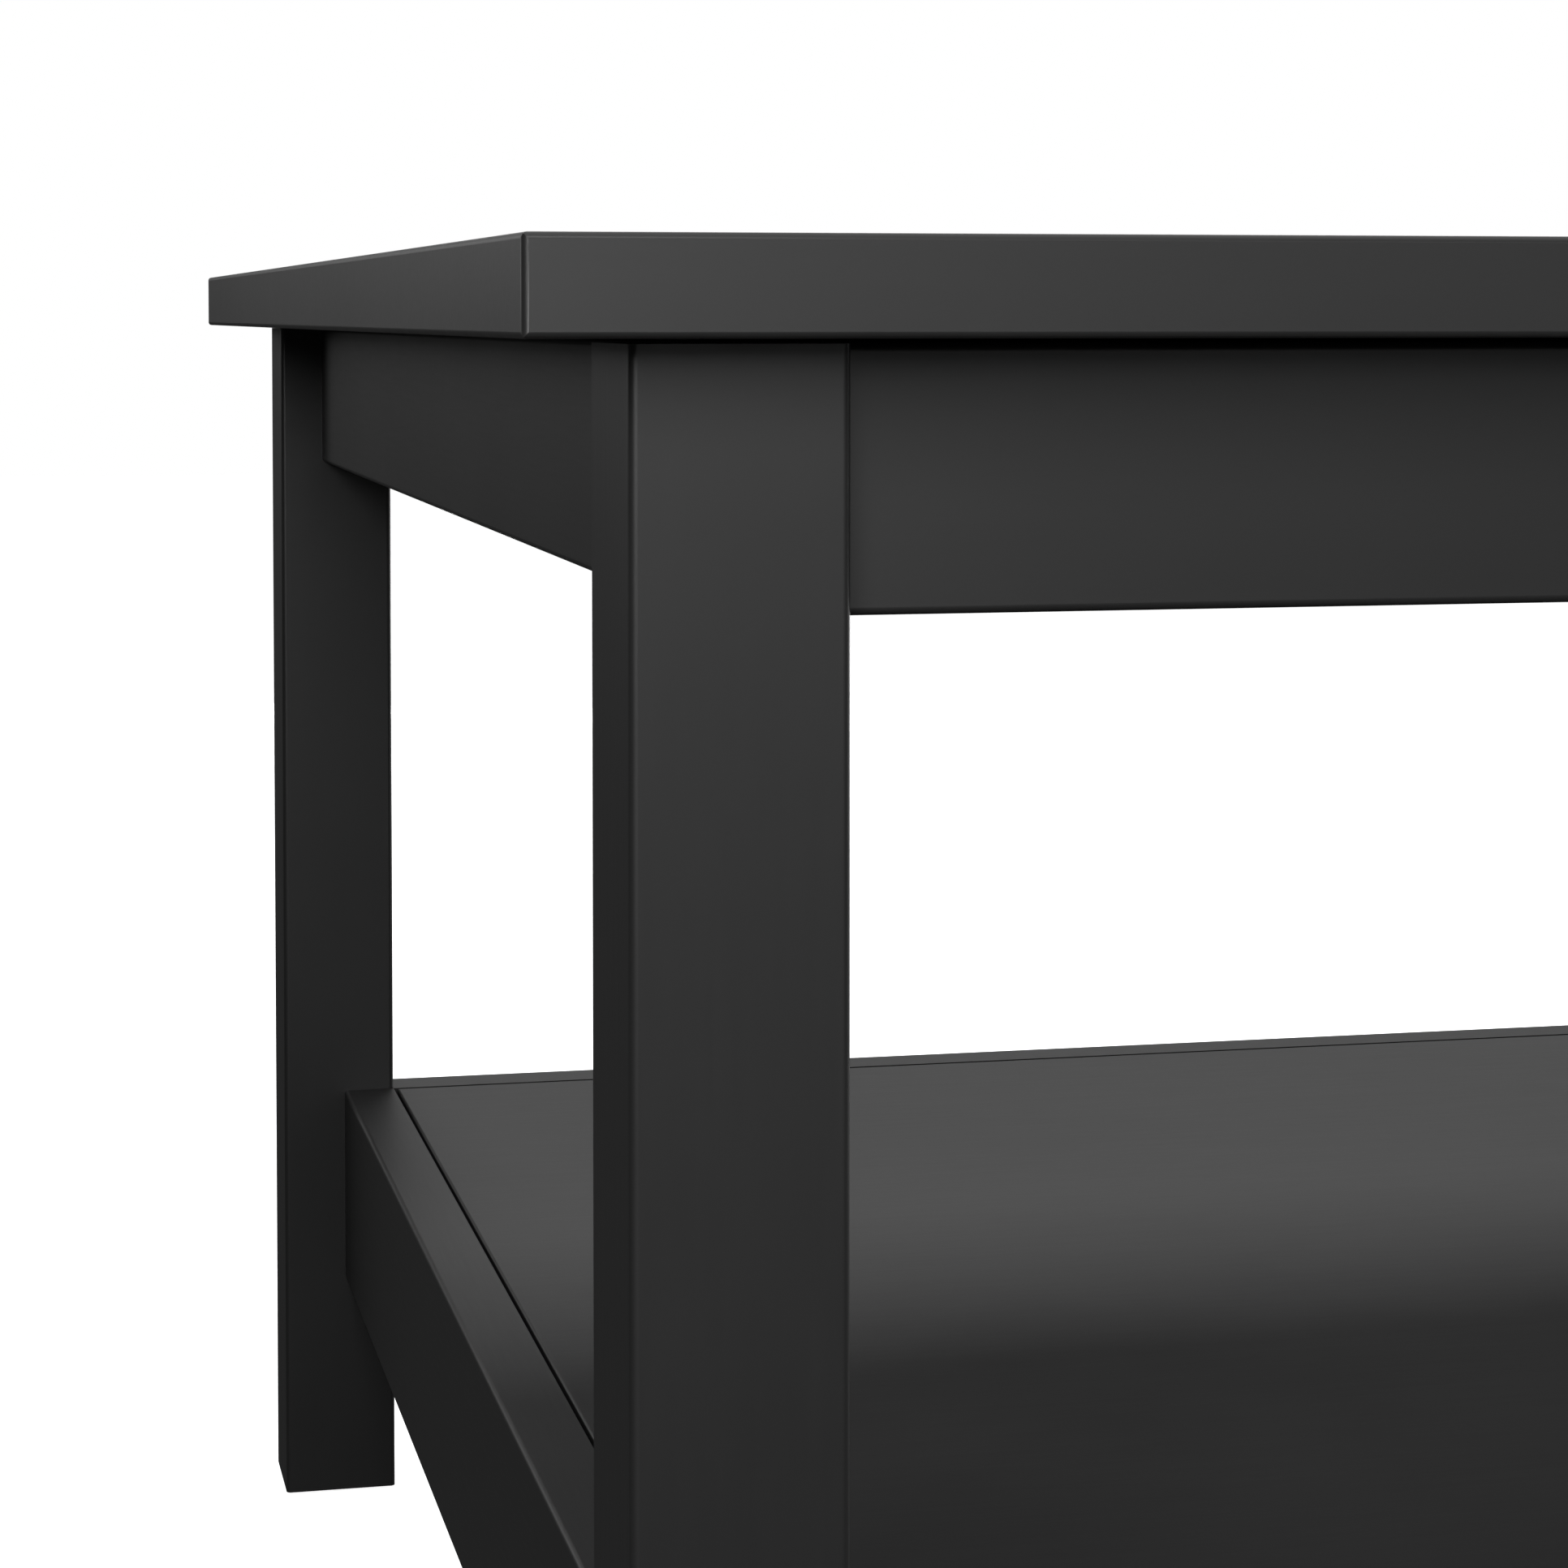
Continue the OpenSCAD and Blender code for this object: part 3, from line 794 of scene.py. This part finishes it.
@dataclass
class Screw:
    """Flat-head screw with a cross recess, drawn along +Z from its head's face."""

    head_r: float = 3.6 * MM
    shank_r: float = 1.8 * MM
    head_t: float = 2.2 * MM
    land: float = 0.25 * MM
    recess_arm: float = 2.1 * MM
    recess_half: float = 0.45 * MM
    recess_depth: float = 1.4 * MM
    recess_taper: float = 0.55
    pitch: float = 1.1 * MM
    thread: float = 0.22 * MM
    point: float = 3.0 * MM
    sides: int = 24

    def profile(self, length: float) -> list[tuple[float, float]]:
        """The outline from the head's rim to the point, with ridges for the thread.

        Args:
            length: the screw's whole length.

        Returns:
            Radius and height of each step.
        """
        steps = [(self.head_r, 0.0), (self.head_r, self.land), (self.shank_r, self.head_t)]
        core = self.shank_r - self.thread
        height = self.head_t + self.pitch
        while height < length - self.point:
            steps += [(core, height), (self.shank_r, height + self.pitch / 2)]
            height += self.pitch
        return [*steps, (core, length - self.point), (0.0, length)]

    def mesh(self, length: float) -> bpy.types.Mesh:
        """The screw's mesh.

        Args:
            length: from the head's face to the point.

        Returns:
            A closed mesh.
        """
        work = lathe(self.profile(length), self.sides)
        cap = next(face for face in work.faces if len(face.verts) == self.sides)
        rim = list(cap.edges)
        bmesh.ops.delete(work, geom=[cap], context="FACES_ONLY")
        arm, half = self.recess_arm, self.recess_half
        corner = [(arm, -half), (arm, half), (half, half)]
        quarters = [math.pi / 2 * i for i in range(4)]
        cross = [(x * math.cos(turn) - y * math.sin(turn), x * math.sin(turn) + y * math.cos(turn))
                 for turn in quarters for x, y in corner]
        upper = [work.verts.new((x, y, 0.0)) for x, y in cross]
        lower = [work.verts.new((self.recess_taper * x, self.recess_taper * y, self.recess_depth))
                 for x, y in cross]
        count = len(cross)
        mouth = [work.edges.new((upper[i], upper[(i + 1) % count])) for i in range(count)]
        bmesh.ops.triangle_fill(work, edges=rim + mouth, use_beauty=True)
        for face in [face for face in work.faces if all(v in upper for v in face.verts)]:
            work.faces.remove(face)
        for i in range(count):
            j = (i + 1) % count
            work.faces.new((upper[i], upper[j], lower[j], lower[i]))
        work.faces.new(lower)
        return mesh_from(work, "screw", smooth_angle=30.0)


def islands(node: str) -> list[tuple[Vector, Vector]]:
    """The box of each separate solid in a CAD node.

    Args:
        node: the CAD node.

    Returns:
        Lowest and highest corner of each solid, in a steady order.
    """
    work = welded(node)
    waiting = set(work.verts)
    boxes: list[tuple[Vector, Vector]] = []
    for seed in work.verts:
        if seed not in waiting:
            continue
        waiting.discard(seed)
        found, edge_of_search = [seed], [seed]
        while edge_of_search:
            for edge in edge_of_search.pop().link_edges:
                for vert in edge.verts:
                    if vert in waiting:
                        waiting.discard(vert)
                        found.append(vert)
                        edge_of_search.append(vert)
        boxes.append(tuple(Vector(pick(v.co[i] for v in found) for i in range(3)) for pick in (min, max)))
    work.free()
    return sorted(boxes, key=lambda box: tuple(round(c, 5) for c in box[0]))


def driven_places(node: str) -> list[Place]:
    """Places of a node's screws, at their heads: each goes up, or outwards from the middle.

    Args:
        node: the CAD node.

    Returns:
        One place for each solid.
    """
    places = []
    for low, high in islands(node):
        middle, size = (low + high) / 2, high - low
        along = Axis.longest(size)
        aim = along.unit(1.0 if along is Axis.Z else math.copysign(1.0, middle.x))
        places.append(Place(tuple(middle - aim * size[along.value] / 2), tuple(aim)))
    return places


@dataclass
class Screws:
    """Every screw of the table: base plates, top brackets and shelf cleats."""

    nodes: tuple[str, ...] = ("base_screws_left", "base_screws_right", "bracket_screws_left",
                              "bracket_screws_right", "cleat_screws")
    finish: Finish = SCREW_STEEL

    def build(self) -> None:
        """Sets each node's screws at their real places and lengths."""
        material = self.finish.material("screws")
        for seed, node in enumerate(self.nodes):
            low, high = islands(node)[0]
            length = max(high - low)
            places = driven_places(node)
            mesh = repeated(f"{node}_set", Screw().mesh(length), places, material, seed)
            add_piece(f"{node}_set", mesh, frame["nodes"][node]["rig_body"], [node])
            LOG.info("set %d screws for %s", len(places), node)


@dataclass
class Dowels:
    """Fluted beech dowels in the frame's corner joints."""

    sides: int = 40
    flute: float = 0.05
    chamfer: float = 0.8 * MM
    seed: int = 7
    finish: Finish = BEECH

    def mesh(self, radius: float, length: float) -> bpy.types.Mesh:
        """One dowel, centred, along +Z.

        Args:
            radius: over the flutes.
            length: end to end.

        Returns:
            A closed mesh.
        """
        half, tip = length / 2, radius - self.chamfer
        work = lathe([(0.0, -half), (tip, -half), (radius, self.chamfer - half),
                      (radius, half - self.chamfer), (tip, half), (0.0, half)], self.sides)
        for vert in work.verts:
            turn = round(math.atan2(vert.co.y, vert.co.x) / math.tau * self.sides)
            if abs(vert.co.z) < half and turn % 2:
                vert.co.xy *= 1 - self.flute
        return mesh_from(work, "dowel", smooth_angle=35.0)

    def build(self) -> None:
        """Sets every dowel."""
        places = []
        for low, high in islands("dowels"):
            size = high - low
            places.append(Place(tuple((low + high) / 2), tuple(Axis.longest(size).unit())))
        pattern = self.mesh(min(size) / 2, max(size))
        mesh = repeated("dowel_set", pattern, places, self.finish.material("dowels"),
                        self.seed)
        add_piece("dowel_set", mesh, "root", ["dowels"])
        LOG.info("set %d dowels", len(places))


@dataclass
class Pads:
    """Felt bumpers on the side aprons and nylon glides under the legs."""

    sides: int = 48
    seed: int = 11
    felt_round: float = 0.3
    felt_steps: int = 6
    glide_thick: float = 1.2 * MM
    glide_dish: float = 0.6 * MM
    glide_round: float = 0.7
    glide_steps: int = 4
    dish_floor: float = 0.28
    dish_rim: float = 0.36
    nail_r: float = 1.5 * MM
    felt: Finish = FELT
    nylon: Finish = NYLON

    def bumper(self, radius: float, height: float) -> bpy.types.Mesh:
        """A felt disc with a soft rim, as a closed mesh."""
        turns = [math.pi * i / self.felt_steps for i in range(self.felt_steps + 1)]
        rim = [(radius - height * self.felt_round * (1 - math.sin(a)), height * (1 - math.cos(a)) / 2)
               for a in turns]
        return mesh_from(lathe([(0.0, 0.0), *rim, (0.0, height)], self.sides), "bumper")

    def glide(self, radius: float, tall: float) -> bpy.types.Mesh:
        """A nail-on glide: dished ring, rounded rim and nail.

        Args:
            radius: of the ring.
            tall: whole height, nail and all.

        Returns:
            A closed mesh.
        """
        thick, dish, nail = self.glide_thick, self.glide_dish, self.nail_r
        turns = [math.pi / 2 * i / self.glide_steps for i in range(self.glide_steps + 1)]
        rim = [(radius - thick * self.glide_round * (1 - math.sin(a)),
                thick * self.glide_round * (1 - math.cos(a))) for a in turns]
        profile = [(0.0, dish), (self.dish_floor * radius, dish), (self.dish_rim * radius, 0.0), *rim,
                   (radius, thick), (nail, thick), (nail, tall - 2 * nail), (0.0, tall)]
        return mesh_from(lathe(profile, self.sides), "glide")

    def build(self) -> None:
        """Sets the bumpers and the glides."""
        for node, slot, shape, material in (
                ("bumpers", "felt", self.bumper, self.felt.material("bumpers")),
                ("foot_glides", "glide_plastic", self.glide, self.nylon.material("glides"))):
            boxes = islands(node)
            size = boxes[0][1] - boxes[0][0]
            places = [Place(((low.x + high.x) / 2, (low.y + high.y) / 2, low.z)) for low, high in boxes]
            mesh = repeated(f"{node}_set", shape(size.x / 2, size.z), places, material, self.seed)
            add_piece(f"{node}_set", mesh, "root", [node])
            LOG.info("set %d %s", len(places), node)


@dataclass
class CamFittings:
    """Cam discs in the boards' inner faces, and the bolts that they draw in."""

    finish: Finish = CAM_ZINC

    def build(self) -> None:
        """Dresses both CAD nodes, whose shapes are kept."""
        material = self.finish.material("cams")
        for node in ("cam_discs", "cam_bolts"):
            dress(frame["nodes"][node], material)
            LOG.info("dressed %s", node)


# ---------- lift linkage


@dataclass
class Spring:
    """Extension spring from the base plate's stud to the front arm's lug."""

    side: Side
    wire_r: float = 0.6 * MM
    coil_start: float = 8.0 * MM
    coil_length: float = 72.0 * MM
    stud_eye_r: float = 3.4 * MM
    lug_eye_r: float = 2.8 * MM
    lead: float = 1.6 * MM
    steps_per_turn: int = 20
    eye_steps: int = 28
    wire_sides: int = 8

    def grow(self, material: bpy.types.Material, at: Vector, span: float,
             coil_r: float, slack: float) -> bpy.types.Mesh:
        """Winds the spring, drawn out so that its coils close up when it is slack.

        Args:
            material: the wire's finish.
            at: the stud's axis, where the spring starts.
            span: from the stud's axis to the lug's hole.
            coil_r: the coil's outer radius.
            slack: the spring's length with the top raised, as a share of that at rest.

        Returns:
            The spring's mesh, in place.
        """
        tree = GeometryTree(f"spring_{self.side.value}", {
            "Wire Radius": self.wire_r, "Coil Radius": coil_r - self.wire_r,
            "Coil Start": self.coil_start, "Coil Length": self.coil_length, "Span": span,
            "Lead": self.lead, "Stud Eye Radius": self.stud_eye_r, "Lug Eye Radius": self.lug_eye_r,
            "Turns": float(round(self.coil_length * slack / (2 * self.wire_r))),
            "Material": material})
        radius, start, length = (tree.value(n) for n in ("Coil Radius", "Coil Start", "Coil Length"))
        span_in, lead = tree.value("Span"), tree.value("Lead")
        stud_eye, lug_eye = tree.value("Stud Eye Radius"), tree.value("Lug Eye Radius")
        coil = tree.node("GeometryNodeCurveSpiral", inputs={
            "Resolution": self.steps_per_turn, "Rotations": tree.value("Turns"),
            "Start Radius": radius, "End Radius": radius, "Height": length}).outputs[0]
        parts = [
            self.moved(tree, coil, start, 0.0, 0.0),
            self.line(tree, (radius, start), (0.0, start - lead)),
            self.line(tree, (0.0, start - lead), (0.0, stud_eye)),
            self.line(tree, (radius, start + length), (0.0, start + length + lead)),
            self.line(tree, (0.0, start + length + lead), (0.0, span_in - lug_eye * 2.0)),
            self.moved(tree, self.ring(tree, stud_eye), 0.0, 0.0, math.pi / 2),
            self.moved(tree, self.ring(tree, lug_eye), span_in - lug_eye, math.pi / 2, 0.0)]
        join = tree.node("GeometryNodeJoinGeometry")
        for part in parts:
            tree.feed(join.inputs[0], part)
        section = tree.node("GeometryNodeCurvePrimitiveCircle", {"mode": "RADIUS"}, {
            "Resolution": self.wire_sides, "Radius": tree.value("Wire Radius")})
        wire = tree.node("GeometryNodeCurveToMesh", inputs={
            "Curve": join.outputs[0], "Profile Curve": section.outputs[0], "Fill Caps": True})
        soft = tree.node("GeometryNodeSetShadeSmooth", inputs={"Geometry": wire.outputs[0]})
        laid = tree.node("GeometryNodeTransform", inputs={
            "Geometry": soft.outputs[0], "Translation": tuple(at),
            "Rotation": (-math.pi / 2, 0.0, 0.0)})
        tree.end(laid.outputs[0])
        return tree.grow(carrier_of([Place((0.0, 0.0, 0.0))]), f"spring_{self.side.value}_wire")

    def ring(self, tree: GeometryTree, radius: Value) -> bpy.types.NodeSocket:
        """A wire eye's centre line, flat in x and y."""
        return tree.node("GeometryNodeCurvePrimitiveCircle", {"mode": "RADIUS"}, {
            "Resolution": self.eye_steps, "Radius": radius}).outputs[0]

    @staticmethod
    def line(tree: GeometryTree, first: tuple[Number, Number],
             second: tuple[Number, Number]) -> bpy.types.NodeSocket:
        """A straight stretch of wire, from one x and z to another."""
        ends = [tree.node("ShaderNodeCombineXYZ", inputs={"X": x, "Z": z}).outputs[0]
                for x, z in (first, second)]
        return tree.node("GeometryNodeCurvePrimitiveLine", {"mode": "POINTS"}, {
            "Start": ends[0], "End": ends[1]}).outputs[0]

    @staticmethod
    def moved(tree: GeometryTree, curve: bpy.types.NodeSocket, along: Number, about_x: float,
              about_y: float) -> bpy.types.NodeSocket:
        """A curve turned about x and y, and then slid along z."""
        slide = tree.node("ShaderNodeCombineXYZ", inputs={"Z": along})
        return tree.node("GeometryNodeTransform", inputs={
            "Geometry": curve, "Translation": slide.outputs[0],
            "Rotation": (about_x, about_y, 0.0)}).outputs[0]

    def build(self, material: bpy.types.Material) -> None:
        """Winds the spring where the CAD has its stand-in, with as many turns as close up at its length
        with the top raised.

        Args:
            material: the wire's finish.
        """
        node = f"spring_{self.side.value}"
        low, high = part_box(node)
        middle = (low + high) / 2
        stud = Vector((middle.x, low.y + self.stud_eye_r + self.wire_r, middle.z))
        lug_y = high.y - self.wire_r
        swing = next(j for j in frame["joints"] if j["name"] == f"front_{self.side.value}_swing")
        turn = Matrix.Rotation(math.radians(swing["range_deg"][1]), 3, "X")
        pivot = Vector(swing["pos_m"])
        raised = pivot + turn @ (Vector((pivot.x, lug_y, middle.z)) - pivot)
        slack = (raised.y - stud.y) / (lug_y - stud.y)
        mesh = self.grow(material, stud, lug_y - stud.y, (high.z - low.z) / 2, slack)
        piece = add_piece(f"{node}_wire", mesh, "root", [node])
        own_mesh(piece)
        LOG.info("wound %s", node)


@dataclass
class Linkage:
    """One side's lift linkage: pressed plates and arms, pins and spring."""

    side: Side
    plates: tuple[str, ...] = ("base_plate", "front_arm", "rear_arm", "top_bracket")
    pins: tuple[str, ...] = ("base_pins", "top_pins")
    plate_ease: float = 0.22 * MM
    pin_ease: float = 0.35 * MM

    def build(self, coat: bpy.types.Material, plating: bpy.types.Material,
              wire: bpy.types.Material) -> None:
        """Replaces the CAD's sharp-edged steel with eased copies and winds the spring.

        Args:
            coat: finish of the plates and arms.
            plating: finish of the pins.
            wire: finish of the spring.
        """
        groups = ((self.plates, self.plate_ease, coat, "black_steel"),
                  (self.pins, self.pin_ease, plating, "zinc_steel"))
        for names, ease, material, slot in groups:
            for name in names:
                node = f"{name}_{self.side.value}"
                piece = add_piece(f"{node}_eased", eased_copy(node, ease),
                                  frame["nodes"][node]["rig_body"], [node])
                dress(piece, material)
                LOG.info("eased %s", node)
        Spring(self.side).build(wire)


@dataclass
class SyncBar:
    """Round bar that makes both rear arms rise together."""

    ease: float = 0.3 * MM

    def build(self, coat: bpy.types.Material) -> None:
        """Replaces the CAD bar with an eased copy in the given finish."""
        piece = add_piece("sync_bar_eased", eased_copy("sync_bar", self.ease), "rear_arms",
                          ["sync_bar"])
        dress(piece, coat)
        LOG.info("eased sync_bar")


# ---------- studio


@dataclass
class Softbox:
    """One soft rectangular light."""

    name: str
    at: Triple
    towards: Triple
    size: tuple[float, float]
    watts: float

    def build(self) -> None:
        """Hangs the light."""
        data = bpy.data.lights.new(self.name, "AREA")
        data.shape = "RECTANGLE"
        data.size, data.size_y = self.size
        data.energy = self.watts
        lamp = put(self.name, data)
        lamp.location = self.at
        lamp.visible_camera = False
        lamp.rotation_euler = (Vector(self.towards) - Vector(self.at)).to_track_quat("-Z", "Y").to_euler()


@dataclass
class Studio:
    """Pale floor, soft light and the camera."""

    floor_reach: float = 9.0
    floor_cells: int = 8
    floor_level: float = 0.90
    floor_mottle: float = 0.02
    floor_rough: float = 0.85
    floor_specular: float = 0.1
    mottle: Pattern = Pattern(3.0, 3.0)
    floor_glow: float = 0.96
    # painted shadow: the floor's own glow under the table, dimmer than further out
    painted_shadow_glow: float = 0.86
    painted_shadow_reach: float = 1.6
    surround: float = 0.047
    backdrop: float = 1.0
    lens: float = 84.05
    sensor: float = 36.0
    camera_at: Triple = (-0.4908, -1.0052, 0.4362)
    yaw: float = 12.626
    pitch: float = 2.316
    rise: float = -0.2053
    clip: tuple[float, float] = (0.01, 50.0)
    lights: tuple[Softbox, ...] = (
        Softbox("overhead", (0.0, 0.0, 2.4), (0.0, 0.0, 0.3), (3.4, 3.4), 40.0),
        Softbox("front", (-0.7, -1.6, 1.0), (-0.3, -0.4, 0.35), (0.9, 0.9), 25.5),
        Softbox("front_low", (0.4, -2.8, 0.72), (-0.2, -0.4, 0.35), (1.8, 0.7), 5.0),
        Softbox("left", (-1.6, 1.6, 0.9), (-0.4, 0.0, 0.3), (1.4, 0.8), 4.8),
        Softbox("behind_high", (0.3, 2.6, 2.0), (0.0, 0.1, 0.2), (2.6, 0.7), 19.0),
        Softbox("behind_low", (0.4, 2.8, 1.0), (0.0, 0.1, 0.2), (2.6, 0.6), 1.3),
        Softbox("right", (3.0, 0.6, 1.6), (0.3, 0.0, 0.3), (3.2, 2.4), 45.0),
        Softbox("skirt_behind", (1.2, 2.6, 0.09), (0.2, 0.0, 0.2), (3.0, 0.14), 14.0),
        Softbox("skirt_right", (2.8, 0.6, 0.09), (0.0, 0.0, 0.2), (3.0, 0.14), 9.0))

    def floor(self) -> None:
        """Lays the pale floor, lit enough of itself to be as pale as the backdrop; its glow is dimmed
        round the table's middle as a painted shadow.
        """
        work = bmesh.new()
        bmesh.ops.create_grid(work, x_segments=self.floor_cells, y_segments=self.floor_cells,
                              size=self.floor_reach)
        mesh = bpy.data.meshes.new("floor")
        work.to_mesh(mesh)
        work.free()
        floor = put("floor", mesh)
        shader = Shader("pale_floor", (self.floor_level,) * 3)
        low, high = (self.floor_level * (1 + s * self.floor_mottle) for s in (-1, 1))
        colour = shader.blend(shader.noise(self.mottle), grey(low), grey(high))
        # painted shadow: the floor's glow rises from the dim level under the table to the full level
        # further out
        outside_painted_shadow = self.painted_shadow_fade(shader).held()
        glow = shader.blend(outside_painted_shadow, grey(self.painted_shadow_glow), grey(self.floor_glow))
        dress(floor, shader.close(Base_Color=colour, Roughness=self.floor_rough,
                                  Specular_IOR_Level=self.floor_specular,
                                  Emission_Color=glow, Emission_Strength=1.0))
        floor.visible_glossy = False
        floor.visible_diffuse = False

    def painted_shadow_fade(self, shader: Shader) -> Value:
        """Distance over the floor from the table's middle, as a share of the reach of the painted shadow
        in the floor's glow.
        """
        spot = shader.node("ShaderNodeVectorMath", {"operation": "LENGTH"}, {0: shader.place})
        return Value(shader, spot.outputs["Value"]) / self.painted_shadow_reach

    def world(self) -> None:
        """Makes the surround: pale to the eye, dimmer as a light."""
        world = bpy.data.worlds.new("studio")
        world.use_nodes = True
        bpy.context.scene.world = world
        tree = Tree(world.node_tree)
        seen = Value(tree, tree.node("ShaderNodeLightPath").outputs["Is Camera Ray"])
        strength = seen * (self.backdrop - self.surround) + self.surround
        glow = tree.node("ShaderNodeBackground", inputs={"Color": (1.0, 1.0, 1.0, 1.0),
                                                         "Strength": strength})
        tree.node("ShaderNodeOutputWorld", inputs={"Surface": glow.outputs[0]})

    def camera(self) -> None:
        """Sets the camera low beside the near left corner."""
        data = bpy.data.cameras.new("camera")
        data.lens, data.sensor_width, data.shift_y = self.lens, self.sensor, self.rise
        data.clip_start, data.clip_end = self.clip
        camera = put("camera", data)
        camera.location = self.camera_at
        camera.rotation_euler = (math.radians(90 - self.pitch), 0.0, math.radians(-self.yaw))
        bpy.context.scene.camera = camera

    def build(self) -> None:
        """Sets up the studio."""
        self.floor()
        self.world()
        for light in self.lights:
            light.build()
        self.camera()
        bpy.context.scene.view_settings.view_transform = "Standard"
        LOG.info("set the studio")


def main() -> None:
    """Builds the studio, then the table's finishes and fittings in order."""
    logging.basicConfig(level=logging.INFO, format="%(name)s: %(message)s")
    Studio().build()
    Woodwork().build()
    Screws().build()
    Dowels().build()
    Pads().build()
    CamFittings().build()
    coat = POWDER_COAT.material("linkage")
    plating = PLATED.material("pins")
    wire = SPRING_WIRE.material("springs")
    for side in Side:
        Linkage(side).build(coat, plating, wire)
    SyncBar().build(coat)


if __name__ == "__main__":
    main()
